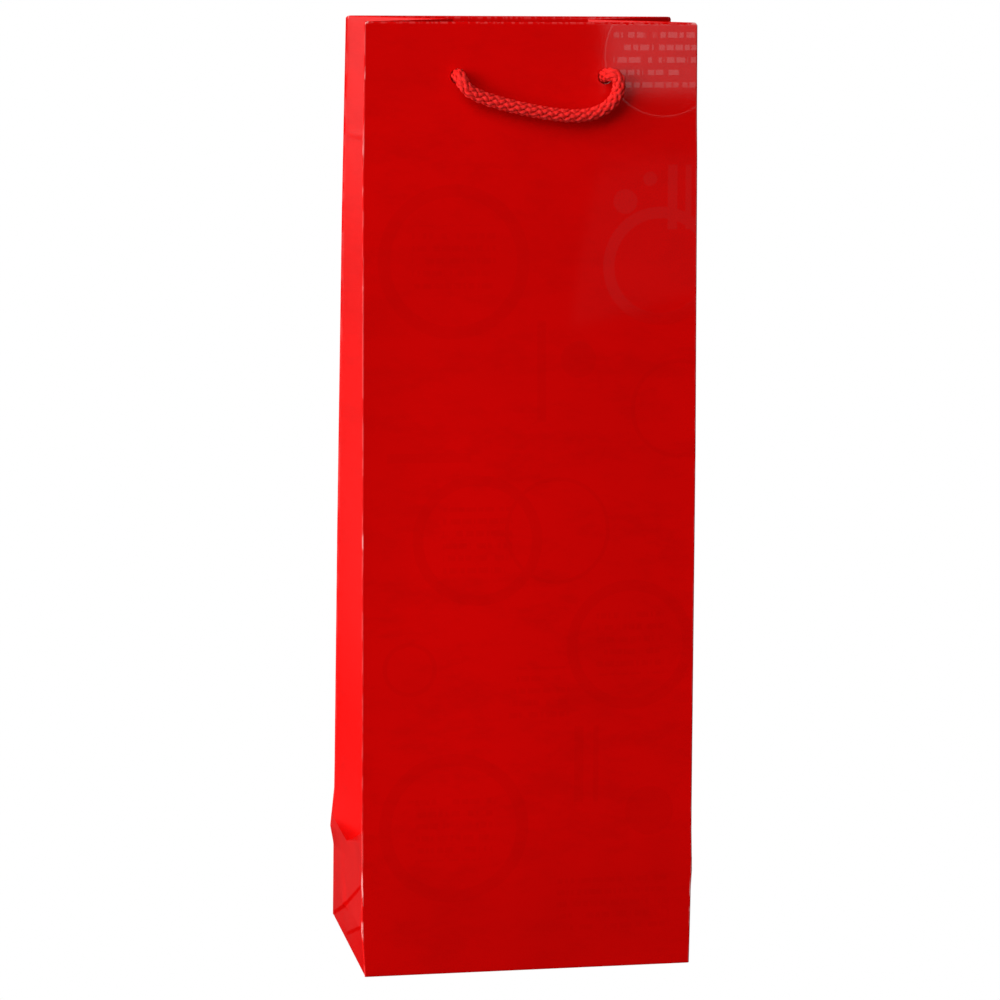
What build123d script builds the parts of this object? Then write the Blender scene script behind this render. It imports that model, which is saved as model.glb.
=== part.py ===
"""A paper bottle gift bag with rope handles, standing with its mouth half closed.

The bag is one sheet of laminated paper, folded and glued. A rigid foot with a block bottom
stands below a rim crease, and above the crease two walls lean in while the side gussets fold
between them. Turned-in hems with a card strip stiffen the top, a loose board lies on the
bottom, and each wall has a rope handle that passes through two punched holes to knots inside.

Millimetres, +Z up, front wall towards -Y, origin in the middle of the underside.
"""

import math
import os

from build123d import *

# Driving dimensions
WIDTH = 120.0  # across the front
DEPTH = 80.0  # of the foot
HEIGHT = 341.0  # to the top edge, as it stands
MOUTH = 41.2  # between the walls' outer faces at the top
PAPER = 0.3  # laminated art paper
CARD = 0.6  # strip inside each hem
BOARD = 1.2  # loose board on the bottom
BOARD_PLAY = 2.0  # round the board
BOARD_CORNER = 3.0
HEM = 42.0  # turned in all round the top
HEM_SIDE_GAP = 3.0  # from a wall's fold to its hem's edge
CARD_MARGIN = 1.0  # from the hem's side and top edges to its card
CARD_SHORT = 3.0  # by how much the card is shorter than the hem
BOTTOM_LAP = 18.0  # glued overlap of the two bottom flaps
SIDE_FLAP_SHARE = 0.8  # reach of a side flap, of half the depth inside
SEAM_TAB = 15.0  # glued overlap down the back right corner
SEAM_MARGIN = 1.0  # from the seam's ends to the rim crease and the hem
HOLE_SPACING = 53.0
HOLE_DROP = 19.0  # from the top edge to the holes
HOLE_RADIUS = 3.0
HOLE_CUTTER = 20.0  # length of the tool that cuts a hole
ROPE = 5.0  # rope diameter
KNOT_RADIUS = 5.5
KNOT_HEIGHT = 10.0
KNOT_ROUNDING = 0.45  # of the knot's radius
KNOT_TIP = 7.0  # cut rope below a knot
GAP = 0.35  # between papers that move apart

# Worked out from those
RIM = DEPTH / 2  # height of the rim crease
GUSSET_HALF = DEPTH / 2
LEAN_IN = (DEPTH - MOUTH) / 2
RISE = HEIGHT - RIM
WALL = math.hypot(RISE, LEAN_IN)  # length of a wall from the rim crease to the top edge
LEAN = math.degrees(math.atan2(LEAN_IN, RISE))
HOLE_Z = RIM + WALL - HOLE_DROP  # in a wall that stands upright
FRONT = -DEPTH / 2
ROPE_RADIUS = ROPE / 2


def block(low, high):
    """A box from its lowest to its highest corner."""
    size = [b - a for a, b in zip(low, high)]
    centre = [(a + b) / 2 for a, b in zip(low, high)]
    return Pos(*centre) * Box(*size)


def lean_in(shape):
    """An upright front wall's piece, tipped in about the rim crease."""
    return shape.rotate(Axis((0, FRONT, RIM), (1, 0, 0)), -LEAN)


def to_back(shape):
    return mirror(shape, about=Plane.XZ)


def to_right(shape):
    return mirror(shape, about=Plane.YZ)


# The foot: four bands below the rim crease
def foot_front():
    return block((-WIDTH / 2, FRONT, 0), (WIDTH / 2, FRONT + PAPER, RIM))


def foot_left():
    return block((-WIDTH / 2, FRONT + PAPER, 0), (-WIDTH / 2 + PAPER, -FRONT - PAPER, RIM))


# The block bottom: two side flaps folded in first, then two long flaps over them
def side_flap():
    inner = DEPTH / 2 - PAPER
    reach = SIDE_FLAP_SHARE * inner
    x = -WIDTH / 2 + PAPER
    corners = [(x, -inner), (x + reach, -inner + reach), (x + reach, inner - reach), (x, inner)]
    flap = extrude(make_face(Polyline(*corners, close=True)), PAPER)
    return Pos(0, 0, 2 * PAPER) * flap


def front_flap():
    reach = DEPTH / 2 + BOTTOM_LAP / 2
    return block(
        (-WIDTH / 2 + PAPER, FRONT + PAPER, 0),
        (WIDTH / 2 - PAPER, FRONT + reach, PAPER),
    )


def back_flap():
    """Laid on the front flap where they lap, and stepped down behind it."""
    reach = DEPTH / 2 + BOTTOM_LAP / 2
    return block(
        (-WIDTH / 2 + PAPER, -FRONT - reach, PAPER),
        (WIDTH / 2 - PAPER, -FRONT - PAPER, 2 * PAPER),
    )


def base_board():
    x = WIDTH / 2 - PAPER - BOARD_PLAY
    y = DEPTH / 2 - PAPER - BOARD_PLAY
    bottom = 3 * PAPER
    board = block((-x, -y, bottom), (x, y, bottom + BOARD))
    return fillet(board.edges().filter_by(Axis.Z), BOARD_CORNER)


# A wall: panel, card and hem, each punched for the rope
def punched(shape):
    for side in (-1, 1):
        place = Pos(side * HOLE_SPACING / 2, FRONT, HOLE_Z) * Rot(90, 0, 0)
        hole = place * Cylinder(HOLE_RADIUS, HOLE_CUTTER)
        shape -= hole
    return shape


def wall_panel():
    return punched(block((-WIDTH / 2, FRONT, RIM + GAP), (WIDTH / 2, FRONT + PAPER, RIM + WALL)))


def wall_card():
    x = WIDTH / 2 - HEM_SIDE_GAP - CARD_MARGIN
    top = RIM + WALL - CARD_MARGIN
    bottom = top - HEM + CARD_SHORT
    return punched(block((-x, FRONT + PAPER, bottom), (x, FRONT + PAPER + CARD, top)))


def wall_hem():
    x = WIDTH / 2 - HEM_SIDE_GAP
    inner = FRONT + PAPER + CARD
    return punched(block((-x, inner, RIM + WALL - HEM), (x, inner + PAPER, RIM + WALL)))


def seam_tab():
    """The strip of the right gusset's edge that is glued inside the back wall, below its hem."""
    x = WIDTH / 2 - HEM_SIDE_GAP
    top = RIM + WALL - HEM - SEAM_MARGIN
    return block((x - SEAM_TAB, FRONT + PAPER, RIM + SEAM_MARGIN), (x, FRONT + 2 * PAPER, top))


# A gusset half: a sheet that stands flat at the rim and folds in towards the top
HEM_SHARES = [1 - HEM / WALL, 1 - HEM / WALL / 2, 1.0]


def gusset_section(share, from_wall, inset):
    """The front left sheet's cut at a share of the wall's height, as a thin flat face.

    It starts from_wall behind the wall's outer face, and inset moves it towards the bag's inside.
    """
    half_mouth = DEPTH / 2 - LEAN_IN * share
    fold_in = math.sqrt(GUSSET_HALF**2 - half_mouth**2)
    fold = Vector(-WIDTH / 2, -half_mouth, 0)
    crease = Vector(-WIDTH / 2 + fold_in, 0, 0)
    along = (crease - fold).normalized()
    inward = Vector(along.Y, -along.X, 0)
    length = (crease - fold).length
    start = (from_wall + (inset + PAPER) * along.X) / along.Y
    ends = [fold + along * start, fold + along * (length - GAP)]
    up = Vector(0, 0, RIM + RISE * share)
    outer = [end + inward * inset + up for end in ends]
    inner = [point + inward * PAPER for point in reversed(outer)]
    return make_face(Polyline(*outer, *inner, close=True))


def gusset_half():
    shares = [0.0, 0.02, 0.08, 0.2, 0.4, 0.65, *HEM_SHARES]
    sections = [gusset_section(share, PAPER + GAP, 0) for share in shares]
    return Pos(0, 0, GAP) * loft(sections, ruled=True)


def gusset_hem():
    sections = [gusset_section(share, 2 * PAPER + CARD + GAP, PAPER) for share in HEM_SHARES]
    return Pos(0, 0, GAP) * loft(sections, ruled=True)


# The ropes, as points (x, distance out from the wall's outer face, height above the holes)
HANDLE_ROUTE = [
    (-25.9, 4.5, -3.4),
    (-19.5, 4.8, -7.6),
    (-9.5, 5.0, -10.8),
    (3.0, 5.0, -13.0),
    (15.0, 5.0, -14.4),
    (24.3, 5.0, -12.8),
    (30.6, 4.8, -8.8),
    (32.4, 4.5, -3.4),
]
END_ROUTE = [
    (0, 1.8, 0),
    (0, -2.9, -0.2),
    (0, -5.6, -3.0),
    (0, -6.1, -8.2),
    (0.8, -5.2, -16),
    (1.6, -4.6, -30),
    (0.6, -5.4, -50),
    (-0.6, -6.4, -72),
    (-0.6, -6.4, -92),
]


def rope_tube(route, x=0.0):
    """A round tube along straight runs joined by arcs as large as the runs allow."""
    points = [Vector(x + px, FRONT - out, HOLE_Z + up) for px, out, up in route]
    radii = []
    for before, here, after in zip(points, points[1:], points[2:]):
        turn = math.radians((here - before).get_angle(after - here))
        shorter = min((here - before).length, (after - here).length)
        radii.append(0.45 * shorter / math.tan(turn / 2))
    path = FilletPolyline(*points, radius=radii)
    tube = sweep(Plane(points[0], z_dir=path % 0) * Circle(ROPE_RADIUS), path=path)
    section = math.pi * ROPE_RADIUS**2 * path.length
    print("radii", [round(r, 1) for r in radii], "length", round(path.length, 1), end=" ")
    print("volume over section times length", round(tube.volume / section, 4))
    return tube


def rope_knot(x):
    """An overhand knot as a rounded barrel, with the rope's short cut tip below it."""
    last = END_ROUTE[-1]
    top = HOLE_Z + last[2]
    y = FRONT - last[1]
    barrel = Cylinder(KNOT_RADIUS, KNOT_HEIGHT, align=(Align.CENTER, Align.CENTER, Align.MAX))
    barrel = fillet(barrel.edges(), KNOT_RADIUS * KNOT_ROUNDING)
    tip = Pos(0, 0, -KNOT_HEIGHT) * Cylinder(
        ROPE_RADIUS, KNOT_TIP, align=(Align.CENTER, Align.CENTER, Align.MAX)
    )
    return Pos(x + last[0], y, top) * (barrel + tip)


def turned(shape):
    """Half a turn about the bag's own axis, from the front wall to the back wall."""
    return shape.rotate(Axis.Z, 180)


def make_nodes():
    nodes = {
        "foot_front": foot_front(),
        "foot_back": to_back(foot_front()),
        "foot_left": foot_left(),
        "foot_right": to_right(foot_left()),
        "bottom_flap_front": front_flap(),
        "bottom_flap_back": back_flap(),
        "bottom_flap_left": side_flap(),
        "bottom_flap_right": to_right(side_flap()),
        "base_board": base_board(),
    }
    handle = lean_in(rope_tube(HANDLE_ROUTE))
    for wall, place in (("front", lambda s: s), ("back", turned)):
        nodes[f"{wall}_panel"] = place(lean_in(wall_panel()))
        nodes[f"{wall}_card"] = place(lean_in(wall_card()))
        nodes[f"{wall}_hem"] = place(lean_in(wall_hem()))
        nodes[f"{wall}_handle"] = place(handle)
        for side, sign in (("left", -1), ("right", 1)):
            x = sign * HOLE_SPACING / 2
            own_side = side if wall == "front" else {"left": "right", "right": "left"}[side]
            nodes[f"{wall}_rope_end_{own_side}"] = place(lean_in(rope_tube(END_ROUTE, x)))
            nodes[f"{wall}_knot_{own_side}"] = place(lean_in(rope_knot(x)))
    nodes["seam_tab"] = to_back(lean_in(seam_tab()))
    half, hem = gusset_half(), gusset_hem()
    for kind, shape in (("gusset", half), ("gusset_hem", hem)):
        nodes[f"left_{kind}_front"] = shape
        nodes[f"left_{kind}_back"] = to_back(shape)
        nodes[f"right_{kind}_front"] = to_right(shape)
        nodes[f"right_{kind}_back"] = to_back(to_right(shape))
    return nodes


def main():
    os.makedirs("parts", exist_ok=True)
    print(f"lean {LEAN:.3f} degrees, wall {WALL:.2f}, holes at {HOLE_Z:.2f} when upright")
    for name, shape in make_nodes().items():
        shape.label = name
        export_step(shape, f"parts/{name}.step")


main()
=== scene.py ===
# %% [markdown]
# # A paper gift bag
# A bottle gift bag is one printed sheet of paper, folded into a tall box and glued. Its walls are
# thin, springy and shiny, its side gussets fold in between them, and each wall carries a short
# braided rope. The design comes packed as a fixed frame with named bodies. This file dresses that
# frame: it sweeps the braids, folds the sheet, and gives each surface its finish.

import math

import bpy
import numpy as np
from mathutils import Matrix, Vector


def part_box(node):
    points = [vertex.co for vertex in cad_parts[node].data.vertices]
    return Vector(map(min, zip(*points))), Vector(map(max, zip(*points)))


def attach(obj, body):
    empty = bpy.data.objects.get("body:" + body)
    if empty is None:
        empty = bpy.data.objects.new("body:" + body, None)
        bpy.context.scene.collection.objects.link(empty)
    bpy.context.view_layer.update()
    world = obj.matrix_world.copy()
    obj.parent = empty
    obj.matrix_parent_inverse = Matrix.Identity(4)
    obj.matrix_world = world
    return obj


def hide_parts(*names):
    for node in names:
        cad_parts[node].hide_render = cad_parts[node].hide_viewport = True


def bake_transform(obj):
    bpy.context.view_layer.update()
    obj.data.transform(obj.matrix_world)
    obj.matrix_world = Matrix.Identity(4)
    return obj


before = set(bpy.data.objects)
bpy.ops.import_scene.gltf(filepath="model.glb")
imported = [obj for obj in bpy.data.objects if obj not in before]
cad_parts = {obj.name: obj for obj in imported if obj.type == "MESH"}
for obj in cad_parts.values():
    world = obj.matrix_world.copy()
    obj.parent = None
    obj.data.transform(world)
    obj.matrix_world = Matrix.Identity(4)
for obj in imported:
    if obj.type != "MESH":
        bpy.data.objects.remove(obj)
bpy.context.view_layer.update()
MM = 0.001

# %% [markdown]
# Everything is worked out from a few sizes. The foot's box and the height come from the frame.
# The rest says how the paper is folded: how far the walls lean in above the rim crease, how tight
# each fold is, and how deep the hem is turned in.

# %% Sizes of the bag
foot_low, foot_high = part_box("foot_front")
HALF_WIDTH = foot_high.x
HALF_DEPTH = -foot_low.y
RIM = foot_high.z
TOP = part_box("front_panel")[1].z
LEAN_IN = 19.4 * MM
PAPER = 0.3 * MM
CARD = 0.6 * MM
HEM = 42 * MM
HEM_SIDE_GAP = 3 * MM
RISE = TOP - RIM
LEAN = math.atan2(LEAN_IN, RISE)
WALL = math.hypot(LEAN_IN, RISE)
HOLE_ACROSS = 26.5  # from the bag's middle, in millimetres
HOLE_X = HOLE_ACROSS * MM
HOLE_DROP = 19 * MM
HOLE_RADIUS = 2.7 * MM
ROPE_DIAMETER = 5 * MM
print("lean", math.degrees(LEAN), "wall", WALL)

# %% [markdown]
# A long lens, well back, keeps the bag's upright folds almost parallel. The camera
# looks down on the bag a little and from its left, so the left gusset shows as a narrow strip.

# %% The camera
CAMERA_TARGET = Vector((-5.1, 0, 166.4)) * MM
CAMERA_DISTANCE = 1362.5 * MM
YAW, PITCH, ROLL = (math.radians(a) for a in (11.01, 10.26, 0.79))
LENS = 134.24


def add_camera():
    data = bpy.data.cameras.new("camera")
    data.lens = LENS
    data.sensor_width = 36
    data.clip_start, data.clip_end = 0.05, 200
    camera = bpy.data.objects.new("camera", data)
    bpy.context.scene.collection.objects.link(camera)
    level = math.cos(PITCH)
    forward = Vector((math.sin(YAW) * level, math.cos(YAW) * level, -math.sin(PITCH)))
    right = Vector((math.cos(YAW), -math.sin(YAW), 0))
    up = right.cross(forward)
    tilted_right = math.cos(ROLL) * right + math.sin(ROLL) * up
    tilted_up = -math.sin(ROLL) * right + math.cos(ROLL) * up
    turn = Matrix((tilted_right, tilted_up, -forward)).transposed().to_4x4()
    camera.matrix_world = Matrix.Translation(CAMERA_TARGET - forward * CAMERA_DISTANCE) @ turn
    bpy.context.scene.camera = camera


add_camera()
bpy.context.scene.view_settings.view_transform = "Standard"
bpy.context.view_layer.update()

# %% [markdown]
# Shader maths reads best as ordinary expressions. A small class wraps a node's output, and each
# operator adds one Math node, so `1 - mask` works as it does on numbers. Every other node comes
# from one method, which takes the node's type, its settings and its inputs.

# %% Expressions for shader maths


class Value:
    """A number that varies over a surface."""

    def __init__(self, shader, socket):
        self.shader = shader
        self.socket = socket

    def math(self, operation, *others):
        inputs = dict(enumerate((self, *others)))
        return self.shader.node("Math", {"operation": operation}, inputs)

    def __add__(self, other):
        return self.math("ADD", other)

    def __sub__(self, other):
        return self.math("SUBTRACT", other)

    def __mul__(self, other):
        return self.math("MULTIPLY", other)

    def __rsub__(self, other):
        return self.shader.node("Math", {"operation": "SUBTRACT"}, {0: other, 1: self})

    __radd__, __rmul__ = __add__, __mul__


class Shader:
    """One material and the nodes that are added to it."""

    def __init__(self, name):
        self.material = bpy.data.materials.new(name)
        self.material.use_nodes = True
        self.tree = self.material.node_tree
        self.tree.nodes.clear()

    def node(self, kind, settings=None, inputs=None, output=0):
        made = self.tree.nodes.new(f"ShaderNode{kind}")
        for key, value in (settings or {}).items():
            setattr(made, key, value)
        for key, value in (inputs or {}).items():
            if isinstance(value, Value):
                self.tree.links.new(value.socket, made.inputs[key])
            else:
                made.inputs[key].default_value = value
        return Value(self, made.outputs[output]) if made.outputs else None

    def place(self):
        """The surface point, in the bag's own frame, as three values."""
        point = self.node("TexCoord", output="Object")
        parts = self.node("SeparateXYZ", {}, {0: point})
        sockets = parts.socket.node.outputs
        return [Value(self, sockets[axis]) for axis in "XYZ"]

    def noise(self, scale, detail=2.0, roughness=0.5, stretch=(1, 1, 1), shift=0.0):
        point = self.node("TexCoord", output="Object")
        mapped = self.node("Mapping", {}, {0: point, "Scale": stretch, "Location": (shift,) * 3})
        inputs = {"Vector": mapped, "Scale": scale, "Detail": detail, "Roughness": roughness}
        return self.node("TexNoise", {}, inputs)

    def ramp(self, value, low, high):
        """0 below low, 1 above high, and smooth between."""
        inputs = {"Value": value, "From Min": low, "From Max": high}
        return self.node("MapRange", {"interpolation_type": "SMOOTHSTEP"}, inputs)

    def mix(self, share, first, second):
        """A colour between two colours."""
        inputs = {0: share, 6: first, 7: second}
        return self.node("Mix", {"data_type": "RGBA"}, inputs, output=2)

    def bump(self, height, strength, distance):
        return self.node("Bump", {}, {"Height": height, "Strength": strength, "Distance": distance})

    def finish(self, **sockets):
        inputs = {key.replace("_", " "): value for key, value in sockets.items()}
        surface = self.node("BsdfPrincipled", {}, inputs)
        self.node("OutputMaterial", {}, {"Surface": surface})
        return self.material


def rgb(red, green, blue):
    return (red, green, blue, 1)


# %% [markdown]
# The paper is printed a flat deep red and laminated with a thin film. Over it lies a spot varnish:
# rings, bars and rows of dashes that only show where the wall catches a light. A varnish is
# smoother than the film round it and a hair darker, so it changes roughness and barely colour.
# Along the folds the film cracks and the white core of the paper shows.

# %% Printed paper
RED = rgb(0.56, 0.0012, 0.0010)
DEEP_RED = rgb(0.46, 0.0012, 0.0010)
WORN = rgb(0.95, 0.62, 0.6)
PRINT_EDGE = 0.12  # softness of the varnish's edge, in millimetres
DASH_PITCH = 4.4
DASH_HEIGHT = 2.0


def union(first, second):
    return first.math("MAXIMUM", second)


def ring(shader, x, z, centre, radius, width):
    """1 on a circle's line, with soft edges."""
    dx, dz = x - centre[0] * MM, z - centre[1] * MM
    distance = (dx * dx + dz * dz).math("SQRT")
    off = (distance - radius * MM).math("ABSOLUTE")
    return 1 - shader.ramp(off, (width / 2 - PRINT_EDGE) * MM, (width / 2 + PRINT_EDGE) * MM)


def disc(shader, x, z, centre, radius):
    dx, dz = x - centre[0] * MM, z - centre[1] * MM
    distance = (dx * dx + dz * dz).math("SQRT")
    return 1 - shader.ramp(distance, (radius - PRINT_EDGE) * MM, (radius + PRINT_EDGE) * MM)


def bar(shader, x, z, low, high):
    """1 in an upright rectangle from its low to its high corner."""
    centre = [(a + b) / 2 * MM for a, b in zip(low, high)]
    half = [(b - a) / 2 * MM for a, b in zip(low, high)]
    soft = PRINT_EDGE * MM
    sides = [
        1 - shader.ramp((value - middle).math("ABSOLUTE"), size - soft, size + soft)
        for value, middle, size in zip((x, z), centre, half)
    ]
    return sides[0] * sides[1]


def dash_rows(shader, x, z, low, high):
    """Rows of uneven dashes in a rectangle."""
    row = (z * (1 / (DASH_PITCH * MM))).math("FLOOR")
    in_row = ((z * (1 / (DASH_PITCH * MM))).math("FRACT") - 0.5).math("ABSOLUTE")
    half_line = DASH_HEIGHT / DASH_PITCH / 2
    line = 1 - shader.ramp(in_row, half_line - 0.02, half_line + 0.02)
    cell = shader.node("CombineXYZ", {}, {0: x * 260, 1: row * 7.3, 2: 0.0})
    steps = shader.node("TexVoronoi", {"feature": "DISTANCE_TO_EDGE"}, {"Vector": cell, "Scale": 1.0})
    dash = shader.ramp(steps, 0.05, 0.09)
    return line * dash * bar(shader, x, z, low, high)


def varnish_pattern(shader, x, z):
    """The whole tone-on-tone design of one wall, 1 where there is varnish."""
    shapes = [
        ring(shader, x, z, (48.0, 329.5), 21.7, 0.6),
        dash_rows(shader, x, z, (29.0, 317.0), (61.0, 340.5)),
        ring(shader, x, z, (47.0, 255.0), 19.0, 4.2),
        disc(shader, x, z, (34.0, 278.0), 4.4),
        bar(shader, x, z, (49.5, 268.0), (53.0, 291.0)),
        bar(shader, x, z, (56.0, 268.0), (58.2, 291.0)),
        disc(shader, x, z, (43.0, 286.0), 2.6),
        ring(shader, x, z, (-28.0, 257.0), 25.0, 4.5),
        dash_rows(shader, x, z, (-43.0, 245.0), (-13.0, 270.0)),
        ring(shader, x, z, (-19.5, 158.0), 21.5, 3.8),
        dash_rows(shader, x, z, (-32.0, 146.0), (-7.0, 170.0)),
        ring(shader, x, z, (9.5, 161.0), 18.5, 1.4),
        ring(shader, x, z, (36.5, 119.0), 21.5, 4.0),
        dash_rows(shader, x, z, (24.0, 108.0), (49.0, 131.0)),
        ring(shader, x, z, (-28.0, 54.0), 25.0, 4.5),
        dash_rows(shader, x, z, (-42.0, 42.0), (-14.0, 66.0)),
        ring(shader, x, z, (54.0, 204.0), 17.0, 1.6),
        disc(shader, x, z, (17.0, 222.0), 6.5),
        bar(shader, x, z, (2.0, 200.0), (5.2, 236.0)),
        bar(shader, x, z, (-52.0, 186.0), (-22.0, 189.4)),
        bar(shader, x, z, (16.0, 62.0), (19.4, 90.0)),
        bar(shader, x, z, (23.0, 62.0), (25.0, 90.0)),
        disc(shader, x, z, (44.0, 58.0), 9.0),
        ring(shader, x, z, (-44.0, 112.0), 9.0, 1.6),
        dash_rows(shader, x, z, (-8.0, 92.0), (14.0, 112.0)),
        dash_rows(shader, x, z, (10.0, 14.0), (52.0, 34.0)),
    ]
    total = shapes[0]
    for shape in shapes[1:]:
        total = union(total, shape)
    return total


def make_printed(name, gloss, grain, with_varnish):
    shader = Shader(name)
    x, _, z = shader.place()
    tone = shader.noise(9.0, detail=4.0, roughness=0.6)
    mottle = shader.noise(45.0, detail=5.0, roughness=0.75, stretch=(1, 1, 2.2))
    colour = shader.mix(shader.ramp(tone, 0.38, 0.68) * 0.5, RED, DEEP_RED)
    colour = shader.mix(shader.ramp(mottle, 0.42, 0.7) * 0.55, colour, DEEP_RED)
    film = shader.noise(1500.0, detail=2.0, roughness=0.6)
    waves = shader.noise(28.0, detail=2.0, roughness=0.5)
    roughness = gloss + film * 0.04
    height = film * grain + waves * 0.02
    coat = 0.0
    if with_varnish:
        varnish = varnish_pattern(shader, x, z)
        colour = shader.mix(varnish * 0.13, colour, DEEP_RED)
        coat = varnish * 0.75
        height = height + varnish * 0.01
    fold = shader.node("Attribute", {"attribute_name": "fold"}, output="Fac")
    low = shader.ramp(z, 12 * MM, 18 * MM) * (1 - shader.ramp(z, 36 * MM, 41 * MM))
    top = shader.ramp(z, TOP - 1.6 * MM, TOP - 0.5 * MM)
    crack = shader.ramp(shader.noise(900.0, detail=3.0, stretch=(1, 1, 0.12)), 0.47, 0.56)
    rare = shader.ramp(shader.noise(60.0, detail=2.0, shift=3.0), 0.62, 0.72)
    point = shader.node("TexCoord", output="Object")
    specks = shader.node("TexVoronoi", {}, {"Vector": point, "Scale": 17.0})
    specks = 1 - shader.ramp(specks, 0.004, 0.008)
    worn = union(fold * crack * union(union(low * 0.4, top * 0.45), rare * 0.25 + 0.05), specks * 0.6)
    colour = shader.mix(worn, colour, WORN)
    normal = shader.bump(height, 0.35, 1.0 * MM)
    return shader.finish(
        Base_Color=colour, Roughness=roughness + fold * 0.7, Normal=normal, Specular_IOR_Level=0.22,
        Coat_Weight=coat, Coat_Roughness=0.08,
    )


FRONT_PRINT = make_printed("laminated paper with varnish", 0.035, 0.004, True)
SIDE_PRINT = make_printed("laminated paper", 0.28, 0.11, False)


# %% [markdown]
# The back of the sheet is bare: white, soft and dull, with faint fibres. It shows inside the bag.
# On the real sheet it also shows as a thin line at every cut edge; here the cut edges carry the
# printed finish.

# %% Bare paper, card and board


def make_fibre(name, light, dark, scale, contrast):
    shader = Shader(name)
    fibre = shader.noise(scale, detail=5.0, roughness=0.75, stretch=(1, 1, 2.4))
    cloud = shader.noise(scale / 30, detail=2.0)
    colour = shader.mix(shader.ramp(fibre, 0.5 - contrast, 0.5 + contrast), light, dark)
    colour = shader.mix(shader.ramp(cloud, 0.35, 0.75) * 0.3, colour, dark)
    normal = shader.bump(fibre, 0.3, 0.2 * MM)
    roughness = 0.78 + fibre * 0.15
    return shader.finish(Base_Color=colour, Roughness=roughness, Normal=normal, Specular_IOR_Level=0.25)


BARE_PAPER = make_fibre(
    "bare back of the paper", rgb(0.86, 0.85, 0.83), rgb(0.76, 0.75, 0.72), 900, 0.25
)
HEM_CARD = make_fibre("hem card", rgb(0.74, 0.72, 0.67), rgb(0.55, 0.53, 0.48), 700, 0.3)
GREY_BOARD = make_fibre("grey board", rgb(0.60, 0.57, 0.52), rgb(0.36, 0.34, 0.31), 520, 0.22)

# %% [markdown]
# The rope is spun from shiny red yarn. Fine ply lines run along each strand, and their colour
# is painted darker in the grooves and lighter on the crowns, as painted shade and painted
# highlight, with a random fuzz in the tone. The yarn's sheen lifts its colour where it turns
# away from the light.

# %% Rope yarn


def make_yarn():
    shader = Shader("red yarn")
    along = shader.node("Attribute", {"attribute_name": "yarn"}, output="Vector")
    twist = shader.node("TexWave", {"bands_direction": "X"}, {
        "Vector": along, "Scale": 1.2, "Distortion": 2.2, "Detail": 2.0, "Detail Scale": 1.4,
    })
    fuzz = shader.noise(2600.0, detail=3.0, roughness=0.7)
    # Painted shade in the ply grooves and painted highlight on the ply crowns, from the same twist
    # pattern as the bump, with random fuzz in the tone.
    colour = shader.mix(twist * 0.7 + fuzz * 0.3, rgb(0.62, 0.002, 0.002), rgb(1.0, 0.024, 0.020))
    normal = shader.bump(twist + fuzz * 0.5, 0.6, 0.18 * MM)
    return shader.finish(
        Base_Color=colour, Roughness=0.42 + fuzz * 0.2, Normal=normal, Specular_IOR_Level=0.3,
        Sheen_Weight=0.05, Sheen_Roughness=0.5, Sheen_Tint=rgb(1.0, 0.2, 0.15),
    )


YARN = make_yarn()
print("materials", len(bpy.data.materials))

# %% [markdown]
# A sheet of paper is two faces a few tenths of a millimetre apart. Each piece below is laid out as
# a grid of points on the printed face, with the direction to the bare face at every point. One
# function turns such a grid into a closed sheet with a cut edge all round.

# %% Paper sheets


def smooth_ramp(value, half):
    """0 below -half, value above half, and a parabola between."""
    middle = (value + half) ** 2 / (4 * half)
    return np.where(value < -half, 0.0, np.where(value > half, value, middle))


def grid_faces(rows, columns, start=0, flip=False):
    faces = []
    for i in range(rows - 1):
        for j in range(columns - 1):
            a = start + i * columns + j
            quad = (a, a + 1, a + columns + 1, a + columns)
            faces.append(quad[::-1] if flip else quad)
    return faces


def border(rows, columns):
    """The grid's outline, once round, as point numbers."""
    top = [j for j in range(columns)]
    right = [i * columns + columns - 1 for i in range(1, rows)]
    bottom = [(rows - 1) * columns + j for j in range(columns - 2, -1, -1)]
    left = [i * columns for i in range(rows - 2, 0, -1)]
    return top + right + bottom + left


def add_mesh(name, points, faces, materials):
    mesh = bpy.data.meshes.new(name)
    mesh.from_pydata([tuple(p) for p in points], [], faces)
    for material in materials:
        mesh.materials.append(material)
    mesh.polygons.foreach_set("use_smooth", [True] * len(mesh.polygons))
    mesh.update()
    piece = bpy.data.objects.new(name, mesh)
    bpy.context.scene.collection.objects.link(piece)
    return piece


def add_sheet(name, face, inward, printed, fold, flip=False):
    """A closed sheet from a grid of points on its printed face. fold is 1 where a point is creased."""
    rows, columns = face.shape[:2]
    count = rows * columns
    bare = face + inward * PAPER
    faces = grid_faces(rows, columns, 0, flip) + grid_faces(rows, columns, count, not flip)
    outline = border(rows, columns)
    for a, b in zip(outline, outline[1:] + outline[:1]):
        quad = (a, a + count, b + count, b)
        faces.append(quad[::-1] if flip else quad)
    points = np.concatenate([face.reshape(-1, 3), bare.reshape(-1, 3)])
    piece = add_mesh(name, points, faces, [printed, BARE_PAPER])
    quads = (rows - 1) * (columns - 1)
    index = np.zeros(len(faces), int)
    index[quads : 2 * quads] = 1
    piece.data.polygons.foreach_set("material_index", index)
    piece.data.set_sharp_from_angle(angle=math.radians(50))
    creased = np.broadcast_to(fold, (rows, columns)).ravel()
    layer = piece.data.attributes.new("fold", "FLOAT", "POINT")
    layer.data.foreach_set("value", np.concatenate([creased, creased]).astype(np.float32))
    return piece


# %% [markdown]
# The folds of a real bag are never quite straight. The stiff corners bow out a little at mid
# height, and they pull in at the very bottom, where four layers of paper meet. The walls bulge by
# a millimetre or two, except at the top, where the card in the hem holds them flat.

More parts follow.
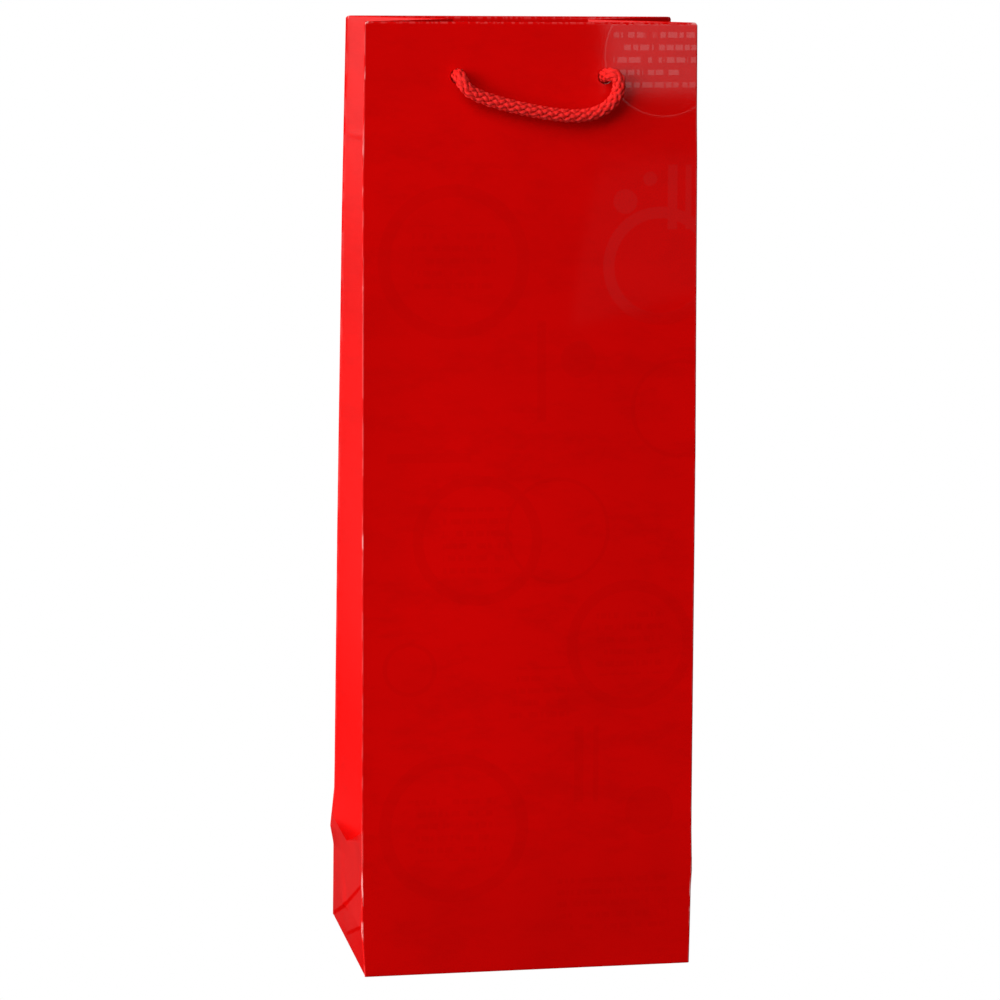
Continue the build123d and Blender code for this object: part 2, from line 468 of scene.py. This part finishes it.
# %% The shape of the folds
FOLD_RADIUS = 0.4 * MM
SETBACK_SLOPE = LEAN_IN / RISE
BOWS = {
    "left_front": ((0, 0.0), (17, 1.3), (60, 1.5), (180, 0.9), (294, 0.5), (308, 0.1), (341, -0.3)),
    "right_front": ((0, 0.0), (20, 0.1), (60, 0.0), (190, 0.5), (294, 0.3), (308, 0.1), (341, 0.0)),
    "left_back": ((0, 0.0), (60, -0.1), (150, 0.3), (270, 0.45), (341, 0.1)),
    "right_back": ((0, 0.0), (60, 0.1), (150, 0.5), (270, 0.3), (341, 0.0)),
}
KINK = {"left_front": 0.0, "right_front": 0.3 * MM, "left_back": 1.3 * MM, "right_back": 0.7 * MM}
KINK_HEIGHT = 35 * MM


def setback(z):
    """How far a wall's printed face stands behind the foot's, at a height."""
    return SETBACK_SLOPE * smooth_ramp(z - RIM, 14 * MM)


def peak(z, middle, kink):
    """A sharp peak, steep below its middle and long above it."""
    return kink * np.clip(np.minimum((z - middle) / (7 * MM) + 1, 1 - (z - middle) / (15 * MM)), 0, 1)


def bow(z, fold):
    """How far a corner fold stands out sideways from a straight line."""
    stations, offsets = zip(*BOWS[fold])
    return np.interp(z / MM, stations, offsets) * MM


def fold_reach(z, fold):
    """How far a corner fold is from the bag's middle plane, across the front."""
    return HALF_WIDTH + bow(z, fold) + peak(z, KINK_HEIGHT, KINK[fold])


def early_fold(rise):
    """Just above the rim the gusset's crease dives in at once."""
    return 5.0 * MM * (1 - np.exp(-rise / (1.4 * MM))) * np.exp(-rise / (30 * MM))


def crease_depth(z):
    """How far the gusset's centre crease is folded in, at a height."""
    rise = np.clip(z - RIM, 0, None)
    exact = np.sqrt(HALF_DEPTH**2 - (HALF_DEPTH - SETBACK_SLOPE * rise) ** 2)
    return np.sqrt(exact**2 * (1 - np.exp(-rise / (2 * MM))) + early_fold(rise) ** 2)


def fold_turn(z):
    """The angle through which the paper turns at a corner fold."""
    return math.pi - np.arctan2(HALF_DEPTH - setback(z), crease_depth(z))


def heights():
    foot = np.linspace(0.7 * MM, RIM, 26)
    lower = np.linspace(RIM + 1 * MM, RIM + 24 * MM, 16)
    middle = np.linspace(RIM + 28 * MM, TOP - HEM - 6 * MM, 58)
    line = np.linspace(TOP - HEM - 3 * MM, TOP - HEM + 3 * MM, 13)
    upper = np.linspace(TOP - HEM + 6 * MM, TOP - 0.9 * MM, 16)
    return np.concatenate([foot, lower, middle, line, upper])


Z_ROWS = heights()
HEM_THICKNESS = 2 * PAPER + CARD
TURN_STEPS = 6
HEM_ROWS = 14


def wall_bulge(x, z):
    """How far a wall stands proud of flat, outward."""
    across = np.clip(1 - (x / HALF_WIDTH) ** 2, 0, 1) ** 2
    up = np.clip((z - 6 * MM) / (TOP - HEM - 12 * MM), 0, 1)
    return 1.5 * MM * across * np.sin(math.pi * up) ** 1.2


# %% [markdown]
# The front wall is one strip of the sheet. It starts at the bottom fold, goes up the outside,
# turns over the top and comes 42 mm down again inside as the hem, round the card. Its two edges
# are the corner folds, rounded to about half a millimetre, so they catch the light as thin lines.

# %% The walls


def wall_grid(left_fold, right_fold):
    """The front wall's printed face and the directions to its bare face."""
    flat = np.concatenate([[-1, -0.996, -0.988], np.linspace(-0.97, 0.97, 79), [0.988, 0.996, 1]])
    arcs = np.linspace(1, 0, 7)
    rows, ins = [], []

    def section(z):
        """One level row: left fold's arc, the flat, and the right fold's arc."""
        left, right = fold_reach(z, left_fold), fold_reach(z, right_fold)
        turn = fold_turn(z)
        y0 = -HALF_DEPTH + setback(z)
        points, normals = [], []
        for a in arcs[:-1] * turn:
            aside, behind = FOLD_RADIUS * (1 - math.sin(a)), FOLD_RADIUS * (1 - math.cos(a))
            points.append((-left + aside, y0 + behind, z))
            normals.append((math.sin(a), math.cos(a), 0))
        for u in flat:
            reach = (left if u < 0 else right) - FOLD_RADIUS
            x = u * reach
            points.append((x, y0 - wall_bulge(x, z), z))
            normals.append((0, 1, 0))
        for a in arcs[::-1][1:] * turn:
            aside, behind = FOLD_RADIUS * (1 - math.sin(a)), FOLD_RADIUS * (1 - math.cos(a))
            points.append((right - aside, y0 + behind, z))
            normals.append((-math.sin(a), math.cos(a), 0))
        return np.array(points), np.array(normals)

    # The bottom fold, from flat under the bag to upright.
    for a in np.linspace(math.pi / 2, 0.35, 4):
        points, normals = section(0.7 * MM)
        points[:, 1] += FOLD_RADIUS * (1 - math.cos(a))
        points[:, 2] = FOLD_RADIUS * (1 - math.sin(a)) + 0.05 * MM
        normals = normals * math.cos(a) + np.array((0, 0, 1.0)) * math.sin(a)
        rows.append(points)
        ins.append(normals)
    for z in Z_ROWS:
        points, normals = section(z)
        rows.append(points)
        ins.append(normals)
    # Over the top and down inside.
    half = HEM_THICKNESS / 2
    top_row = section(TOP - 0.6 * MM)[0]
    columns = len(top_row)
    inner_reach = HALF_WIDTH - HEM_SIDE_GAP
    inner_x = np.clip(top_row[:, 0], -inner_reach, inner_reach)
    wall_y = -HALF_DEPTH + SETBACK_SLOPE * (TOP - RIM)
    for a in np.linspace(0.15, 1, TURN_STEPS) * math.pi:
        share = a / math.pi
        x = top_row[:, 0] * (1 - share) + inner_x * share
        base_y = top_row[:, 1] * (1 - share) + wall_y * share
        y = base_y + half * (1 - math.cos(a))
        z = TOP - half + half * math.sin(a)
        rows.append(np.stack([x, y, np.full(columns, z)], -1))
        ins.append(np.tile((0, math.cos(a), -math.sin(a)), (columns, 1)))
    for down in np.linspace(2 * MM, HEM, HEM_ROWS):
        z = TOP - down
        y = wall_y - SETBACK_SLOPE * down + HEM_THICKNESS
        rows.append(np.stack([inner_x, np.full(columns, y), np.full(columns, z)], -1))
        ins.append(np.tile((0, -1, 0), (columns, 1)))
    return np.array(rows), np.array(ins)


def turn_round(points):
    """Half a turn about the bag's own axis, from the front wall to the back wall."""
    return points * np.array((-1, -1, 1))


def leaned(x, out, up):
    """A point near the front wall: across, out from its face and up from the holes."""
    run = WALL - HOLE_DROP + up
    y = -HALF_DEPTH - out * math.cos(LEAN) + run * math.sin(LEAN)
    z = RIM + out * math.sin(LEAN) + run * math.cos(LEAN)
    return Vector((x, y, z))


def punch(piece, sign):
    """Two round holes through a wall."""
    for side in (-1, 1):
        centre = leaned(side * HOLE_X, 0, 0)
        bpy.ops.mesh.primitive_cylinder_add(vertices=40, radius=HOLE_RADIUS, depth=20 * MM)
        cutter = bpy.context.active_object
        place = Vector((centre.x, sign * centre.y, centre.z))
        cutter.matrix_world = Matrix.Translation(place) @ Matrix.Rotation(math.pi / 2, 4, "X")
        cut = piece.modifiers.new("hole", "BOOLEAN")
        cut.operation, cut.solver, cut.object = "DIFFERENCE", "EXACT", cutter
        bpy.context.view_layer.update()
        solid = piece.evaluated_get(bpy.context.evaluated_depsgraph_get())
        mesh = bpy.data.meshes.new_from_object(solid)
        piece.modifiers.clear()
        piece.data = mesh
        bpy.data.objects.remove(cutter)


def add_wall(name, sign, folds, nodes):
    face, inward = wall_grid(*folds)
    if sign > 0:
        face, inward = turn_round(face), turn_round(inward)
    fold = np.zeros(face.shape[:2])
    fold[:, :7] = fold[:, -7:] = 1
    fold[-HEM_ROWS - TURN_STEPS : -HEM_ROWS] = 0.1
    fold[-HEM_ROWS - TURN_STEPS : -HEM_ROWS, :10] = fold[-HEM_ROWS - TURN_STEPS : -HEM_ROWS, -10:] = 0.8
    piece = add_sheet(name, face, inward, FRONT_PRINT, fold)
    punch(piece, -sign)
    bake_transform(piece)
    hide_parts(*nodes)
    return piece


front_wall = add_wall(
    "front_wall_paper", -1, ("left_front", "right_front"),
    ("foot_front", "front_panel", "front_hem"),
)
add_wall(
    "back_wall_paper", 1, ("right_back", "left_back"),
    ("foot_back", "back_panel", "back_hem"),
)
print("front wall", len(front_wall.data.polygons), "faces")
print("front wall's size", [round(v, 4) for v in front_wall.dimensions])

# %% [markdown]
# Below the rim the sides stand upright, but the paper remembers how the bag was packed flat. A
# diagonal fold runs up from the back corner, a fainter one lies below it, and where the gusset
# starts to fold in, the side buckles outward into a small sharp peak. These folds are ridges up
# to half a millimetre high, and each follows a straight line, as folds in paper do.

# %% The sides of the foot


def ridge(y, z, start, end, height, width):
    """A straight crease from start to end, (y, z) in millimetres, as high as its two heights.

    It falls off slowly above and sharply below.
    """
    a, b = np.array(start) * MM, np.array(end) * MM
    along = b - a
    t = np.clip(((y - a[0]) * along[0] + (z - a[1]) * along[1]) / (along @ along), 0, 1)
    distance = np.hypot(y - a[0] - t * along[0], z - a[1] - t * along[1])
    size = (height[0] * (1 - t) + height[1] * t) * MM
    below = z < a[1] + t * along[1]
    reach = np.where(below, 0.2, 1.5) * width * MM
    return size * np.clip(1 - distance / reach, 0, 1)


def side_relief(y, z, side):
    """How far a side stands out of the plane of its middle, with y from the front to the back."""
    front, back = f"{side}_front", f"{side}_back"
    share = np.clip(y / HALF_DEPTH / 2 + 0.5, 0, 1)
    line = bow(z, front) * (1 - share) + bow(z, back) * share
    middle = KINK_HEIGHT + (HALF_DEPTH - y) * 0.15
    back_peak = peak(z, middle, KINK[back] * (0.25 + 0.75 * np.clip(y / HALF_DEPTH, 0, 1)))
    front_peak = peak(z, KINK_HEIGHT, KINK[front]) * np.clip(-y / HALF_DEPTH, 0, 1)
    inside = np.clip((HALF_DEPTH - np.abs(y)) / (5 * MM), 0, 1)
    creases = ridge(y, z, (40, 1), (6, 14), (0.3, 0.5), 6.0)
    creases = creases + ridge(y, z, (6, 14), (-38, 34), (0.5, 0.35), 6.0)
    creases = creases + ridge(y, z, (3, 4), (-36, 18), (0.2, 0.3), 5.0)
    across = np.exp(-(((y - 16 * MM) / (9 * MM)) ** 2))
    swell = 0.3 * MM * across * np.sin(np.clip(z / RIM, 0, 1) * math.pi)
    back_peak = back_peak * np.clip(1 + y / (14 * MM), 0, 1)
    return line + back_peak + front_peak + (creases + swell) * inside * (z < RIM)


def add_foot_side(name, side, node):
    z = np.concatenate([np.linspace(0.05, 1, 3), np.linspace(1.8, 40, 110)]) * MM
    u = np.concatenate([[-1, -0.995], np.linspace(-0.98, 0.98, 140), [0.995, 1]])
    zz, uu = np.meshgrid(z, u, indexing="ij")
    y = uu * (HALF_DEPTH - FOLD_RADIUS)
    rounded = FOLD_RADIUS * (1 - np.sqrt(1 - np.clip(1 - zz / FOLD_RADIUS, 0, 1) ** 2))
    face = np.stack([-(HALF_WIDTH + side_relief(y, zz, side)) + rounded, y, zz], -1)
    inward = np.tile((1.0, 0, 0), (*zz.shape, 1))
    if side == "right":
        face, inward = face * (-1, 1, 1), inward * (-1, 1, 1)
    piece = add_sheet(name, face, inward, SIDE_PRINT, np.abs(uu) > 0.99, flip=side == "left")
    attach(piece, "base")
    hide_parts(node)
    return piece


add_foot_side("foot_left_paper", "left", "foot_left")
add_foot_side("foot_right_paper", "right", "foot_right")

# %% [markdown]
# A gusset half is a flat strip of paper that turns about its corner fold. At the rim it is in
# line with the foot, and it folds further in towards the top. Its hem is turned in like the
# walls', and the hem's edge shows through as a soft wavy line.

# %% The gussets


def gusset_grid(side, wall, lag):
    """A half's printed face from the corner fold to the centre crease, as a front left half.

    Next to the corner fold the paper goes straight on up past the rim by lag before it folds in.
    """
    z = np.concatenate([
        RIM + np.linspace(0, 1, 26) ** 1.6 * 8 * MM,
        np.linspace(RIM + 8.4 * MM, RIM + 24 * MM, 34),
        np.linspace(RIM + 28 * MM, TOP - HEM - 6 * MM, 50),
        np.linspace(TOP - HEM - 3 * MM, TOP - HEM + 3 * MM, 13),
        np.linspace(TOP - HEM + 6 * MM, TOP - 0.6 * MM, 14),
    ])
    share = np.linspace(0, 1, 34)
    rows, ins = [], []

    def section(level, inset=0.0, start=0.0):
        later = lag * (1 - share) * math.exp(-(level - RIM) / (40 * MM))
        depth = crease_depth(level - later)
        half = HALF_DEPTH - setback(level)
        length = np.hypot(depth, half)
        normal = np.stack([half / length, -depth / length], -1)
        part = start / HALF_DEPTH + (1 - start / HALF_DEPTH) * share
        turn = fold_turn(level)
        y = (FOLD_RADIUS * (1 - math.cos(turn)) - half) * (1 - part)
        out = side_relief(y if wall == "front" else -y, level, side)
        round_fold = FOLD_RADIUS * (1 - math.sin(turn)) * (1 - part)
        flat = np.stack([-(HALF_WIDTH + out) + round_fold + depth * part, y], -1)
        edge = (level - (TOP - HEM) + 1.0 * MM * np.sin(share * 9)) / (1.2 * MM)
        wave = 0.25 * MM * np.exp(-(edge**2)) * np.sin(share * math.pi)
        flat = flat - wave[:, None] * normal
        offset = np.column_stack([normal, np.zeros(len(share))])
        offset[-1] = (1 / normal[-1, 0], 0, 0)
        points = np.column_stack([flat, np.full(len(share), level)])
        return points + offset * inset, offset

    for level in z:
        points, normals = section(level)
        rows.append(points)
        ins.append(normals)
    for a in np.linspace(0.2, 1, 5) * math.pi:
        points, normals = section(TOP - PAPER, PAPER * (1 - math.cos(a)), 1.8 * MM * a / math.pi)
        points[:, 2] += PAPER * math.sin(a)
        rows.append(points)
        ins.append(normals * math.cos(a) - np.array((0, 0, 1.0)) * math.sin(a))
    for down in np.linspace(2 * MM, HEM, HEM_ROWS):
        points, normals = section(TOP - down, 2 * PAPER, 1.8 * MM)
        rows.append(points)
        ins.append(-normals)
    fold = np.tile(share < 0.01, (len(rows), 1)) * 1.0
    return np.array(rows), np.array(ins), fold


FRONT_LAG = 12.0 * MM


def add_gusset_half(side, wall):
    x_sign = 1 if side == "left" else -1
    y_sign = 1 if wall == "front" else -1
    lag = FRONT_LAG if wall == "front" else 0.0
    face, inward, fold = gusset_grid(side, wall, lag)
    mirror = np.array((x_sign, y_sign, 1))
    piece = add_sheet(
        f"{side}_gusset_{wall}_paper", face * mirror, inward * mirror, SIDE_PRINT, fold,
        flip=x_sign * y_sign > 0,
    )
    body = f"{side}_gusset_{wall}"
    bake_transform(piece)
    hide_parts(body, f"{side}_gusset_hem_{wall}")
    return piece


for side in ("left", "right"):
    for wall in ("front", "back"):
        half = add_gusset_half(side, wall)
print("gusset half", len(half.data.polygons), "faces")

# %% [markdown]
# The rope is a round braid: twelve strands of shiny yarn, six winding each way, that pass over and
# under each other. A braid bends easily and grips its knots, and that is why bags have it. The
# strands follow the rope's own line, which is a smooth curve through a few points of its route.

# %% Braided ropes
BRAID_PITCH = 24.0 * MM
STRANDS_EACH_WAY = 6


def smooth_line(points):
    """Evenly spaced points along a smooth curve of the route."""
    curve = bpy.data.curves.new("route", "CURVE")
    curve.dimensions = "3D"
    curve.resolution_u = 16
    spline = curve.splines.new("NURBS")
    spline.points.add(len(points) - 1)
    for knot, place in zip(spline.points, points):
        knot.co = (*place, 1)
    spline.order_u = 3
    spline.use_endpoint_u = True
    holder = bpy.data.objects.new("route", curve)
    bpy.context.scene.collection.objects.link(holder)
    bpy.context.view_layer.update()
    mesh = bpy.data.meshes.new_from_object(holder.evaluated_get(bpy.context.evaluated_depsgraph_get()))
    line = np.array([v.co for v in mesh.vertices])
    bpy.data.objects.remove(holder)
    bpy.data.curves.remove(curve)
    bpy.data.meshes.remove(mesh)
    return line


def evenly(line, step):
    lengths = np.concatenate([[0], np.cumsum(np.linalg.norm(np.diff(line, axis=0), axis=1))])
    count = max(2, int(round(lengths[-1] / step)) + 1)
    marks = np.linspace(0, lengths[-1], count)
    return np.stack([np.interp(marks, lengths, line[:, k]) for k in range(3)], -1), lengths[-1]


def frames_along(line):
    """Two directions across the line at each point, carried along without twist."""
    tangents = np.gradient(line, axis=0)
    tangents /= np.linalg.norm(tangents, axis=1)[:, None]
    first = np.cross(tangents[0], (0.0, 0.31, 0.95))
    normals = [first / np.linalg.norm(first)]
    for tangent in tangents[1:]:
        kept = normals[-1] - tangent * (normals[-1] @ tangent)
        normals.append(kept / np.linalg.norm(kept))
    normals = np.array(normals)
    return tangents, normals, np.cross(tangents, normals)


def braid(name, line, diameter, step, sides=8, flare=None):
    """A braided rope along a line, as one mesh of eight flat strands and a core."""
    line, length = evenly(line, step)
    tangents, across, up = frames_along(line)
    scale = diameter / ROPE_DIAMETER
    run = np.linspace(0, length, len(line))
    centre, weave = 1.72 * MM * scale, 0.32 * MM * scale
    wide, thick = 0.70 * MM * scale, 0.44 * MM * scale
    turn = 2 * math.pi / (BRAID_PITCH * scale)
    widen = np.ones(len(line)) if flare is None else flare(run / length)
    points, faces, yarn = [], [], []

    def sweep(middle, radial, tangential, half_thick, half_wide):
        start = len(points)
        for i in range(len(line)):
            for k in range(sides):
                a = 2 * math.pi * k / sides
                outward = radial[i] * half_thick * math.cos(a)
                points.append(middle[i] + outward + tangential[i] * half_wide * math.sin(a))
                yarn.append((min(k, sides - k) / sides * 5.0, run[i] / MM * 0.9, 0))
        for i in range(len(line) - 1):
            for k in range(sides):
                a, b = start + i * sides + k, start + i * sides + (k + 1) % sides
                faces.append((a, b, b + sides, a + sides))
        faces.append(tuple(range(start, start + sides))[::-1])
        last = start + (len(line) - 1) * sides
        faces.append(tuple(range(last, last + sides)))

    for way in (-1, 1):
        for k in range(STRANDS_EACH_WAY):
            angle = way * turn * run + 2 * math.pi * k / STRANDS_EACH_WAY
            radius = (centre + way * weave * np.cos(STRANDS_EACH_WAY * turn * run)) * widen
            radial = across * np.cos(angle)[:, None] + up * np.sin(angle)[:, None]
            tangential = up * np.cos(angle)[:, None] - across * np.sin(angle)[:, None]
            middle = line + radial * radius[:, None]
            slope = np.arctan(way * turn * centre)
            lie = tangential * math.cos(slope) - tangents * math.sin(slope)
            sweep(middle, radial, lie, thick, wide)
    sweep(line, across, up, centre * 0.9, centre * 0.9)
    piece = add_mesh(name, points, faces, [YARN])
    layer = piece.data.attributes.new("yarn", "FLOAT_VECTOR", "POINT")
    layer.data.foreach_set("vector", np.array(yarn, np.float32).ravel())
    return piece, length, line


HANDLE_ROUTE = [
    (-26.5, -4.0, 0.3), (-26.5, 0.6, 0.3), (-26.4, 4.2, -0.2), (-24.6, 5.2, -4.4), (-19.5, 4.8, -7.2),
    (-9.5, 5.0, -10.2), (3.0, 5.0, -12.8), (15.0, 5.0, -14.2), (24.0, 5.0, -12.6), (29.4, 4.8, -8.0),
    (30.8, 5.0, -2.4), (29.2, 4.6, 0.8), (26.4, 2.6, 0.6), (26.5, -4.0, 0.3),
]
END_ROUTE = [
    (0, -0.6, 0.2), (0, -3.4, -0.2), (0, -5.8, -3.2), (0, -6.1, -8.2), (0.8, -5.2, -16),
    (1.6, -4.6, -30), (0.6, -5.4, -50), (-0.6, -6.4, -72), (-0.6, -6.4, -92),
]
KNOT_HEIGHT = 10 * MM
KNOT_RADIUS = 5.4 * MM
TWIST_HIGH, TWIST_LOW = 2.7 * MM, 5.8 * MM  # below the holes, where a loop starts to turn


def route(points, x=0.0, back=False):
    placed = [leaned((x + px) * MM, out * MM, up * MM) for px, out, up in points]
    if back:
        placed = [Vector((-p.x, -p.y, p.z)) for p in placed]
    return placed


def add_knot(name, top):
    """An overhand knot with its short cut tip, hanging below a point."""
    rope = 3.7 * MM
    reach = KNOT_RADIUS - rope / 2
    t = np.linspace(0.2, 2 * math.pi + 0.2, 90)
    loop = np.stack([
        (np.sin(t) + 2 * np.sin(2 * t)) / 3 * reach,
        (np.cos(t) - 2 * np.cos(2 * t)) / 3 * reach,
        -np.sin(3 * t) * (KNOT_HEIGHT - rope) / 2 - KNOT_HEIGHT / 2,
    ], -1)
    knot = braid(name, loop + np.array(top), rope, 0.5 * MM, sides=6)[0]
    tip_line = np.array([(0, 0, -KNOT_HEIGHT + 2 * MM), (0, 0, -KNOT_HEIGHT - 5.0 * MM)]) + np.array(top)
    tip = braid(
        name + "_tip", tip_line, ROPE_DIAMETER * 0.92, 0.5 * MM, sides=6,
        flare=lambda run: 0.85 + 0.2 * run**2,
    )[0]
    with bpy.context.temp_override(active_object=knot, selected_editable_objects=[knot, tip]):
        bpy.ops.object.join()
    return knot


for wall, back in (("front", False), ("back", True)):
    body = f"{wall}_wall"
    points = route(HANDLE_ROUTE, 0, back)
    loop, length, line = braid(f"{wall}_handle_rope", smooth_line(points), ROPE_DIAMETER, 0.3 * MM)
    hole = route([(-HOLE_ACROSS, 0, 0)], 0, back)[0]
    start, end = (0, 0, hole.z - TWIST_HIGH), (0, 0, hole.z - TWIST_LOW)
    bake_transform(loop)
    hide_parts(f"{wall}_handle")
    print(wall, "loop length", round(length, 4))
    for side, x in (("left", -HOLE_ACROSS), ("right", HOLE_ACROSS)):
        own = side if not back else {"left": "right", "right": "left"}[side]
        points = route(END_ROUTE, x, back)
        name = f"{wall}_rope_inside_{own}"
        end, length, line = braid(name, smooth_line(points), ROPE_DIAMETER, 0.5 * MM, sides=6)
        knot = add_knot(f"{wall}_knot_{own}_tied", points[-1])
        for piece, node in ((end, f"{wall}_rope_end_{own}"), (knot, f"{wall}_knot_{own}")):
            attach(piece, body)
            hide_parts(node)
        print(wall, own, "end length", round(length, 4))

# %% [markdown]
# The pieces that need no new shape keep the frame's own solids and only get a finish: the cards
# in the hems, the glued seam, the bottom flaps and the loose board.

# %% Finishes on the frame's own pieces


def finish_node(node, material):
    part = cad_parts[node]
    part.data.materials.clear()
    part.data.materials.append(material)


for node in ("front_card", "back_card"):
    finish_node(node, HEM_CARD)
finish_node("seam_tab", BARE_PAPER)
finish_node("base_board", GREY_BOARD)
for node in ("front", "back", "left", "right"):
    finish_node(f"bottom_flap_{node}", SIDE_PRINT)

# %% [markdown]
# The bag is shown cut out on plain white, so the white is only a background and sends no light
# onto the paper. A sun from the upper left front does most of the lighting. A tall softbox on the
# left lights the gusset, and a small one on the right is there to be mirrored in the film.

# %% Light and background


def add_area(name, place, target, size, radiance):
    """A rectangular softbox of a given brightness, as seen in a mirror."""
    data = bpy.data.lights.new(name, "AREA")
    data.shape = "RECTANGLE"
    data.size, data.size_y = size
    data.energy = radiance * math.pi * size[0] * size[1]
    light = bpy.data.objects.new(name, data)
    light.location = place
    light.visible_camera = False
    light.rotation_euler = (Vector(target) - Vector(place)).to_track_quat("-Z", "Y").to_euler()
    bpy.context.scene.collection.objects.link(light)
    return light


def add_sun(name, direction, strength, angle):
    data = bpy.data.lights.new(name, "SUN")
    data.energy, data.angle = strength, math.radians(angle)
    light = bpy.data.objects.new(name, data)
    light.rotation_euler = (-Vector(direction)).to_track_quat("-Z", "Y").to_euler()
    light.visible_glossy = False
    bpy.context.scene.collection.objects.link(light)


world = bpy.data.worlds.new("white")
world.use_nodes = True
world.node_tree.nodes["Background"].inputs["Color"].default_value = (1, 1, 1, 1)
world.node_tree.nodes["Background"].inputs["Strength"].default_value = 1.0
for kind in ("diffuse", "glossy", "transmission", "scatter"):
    setattr(world.cycles_visibility, kind, False)
bpy.context.scene.world = world
add_sun("key", (-0.80, -0.42, 0.43), 3.1, 60)
add_sun("left fill", (-1.0, 0.25, 0.15), 2.3, 60)
add_sun("back", (0.45, 0.75, 0.5), 3.0, 40)
add_sun("underside", (0.1, 0.1, -1.0), 1.6, 30)
add_area("left softbox", (-1.25, -1.0, 0.45), (0, 0, 0.17), (0.9, 1.1), 3.2)
add_area("left low softbox", (-1.25, -0.75, -0.2), (0, 0, 0.17), (1.1, 0.7), 0.42)
add_area("right softbox", (0.290, -0.640, 0.477), (0.29, 0.2, 0.477), (0.25, 0.25), 1.45)
add_area("low right softbox", (0.290, -0.640, 0.282), (0.29, 0.2, 0.282), (0.26, 0.075), 0.1)
add_area("back left card", (-0.9, 2.0, -0.1), (0, 0, 0.1), (1.6, 1.2), 0.08)
add_area("fill", (-0.7, -1.9, 1.7), (0, 0, 0.17), (1.4, 1.2), 4.0)
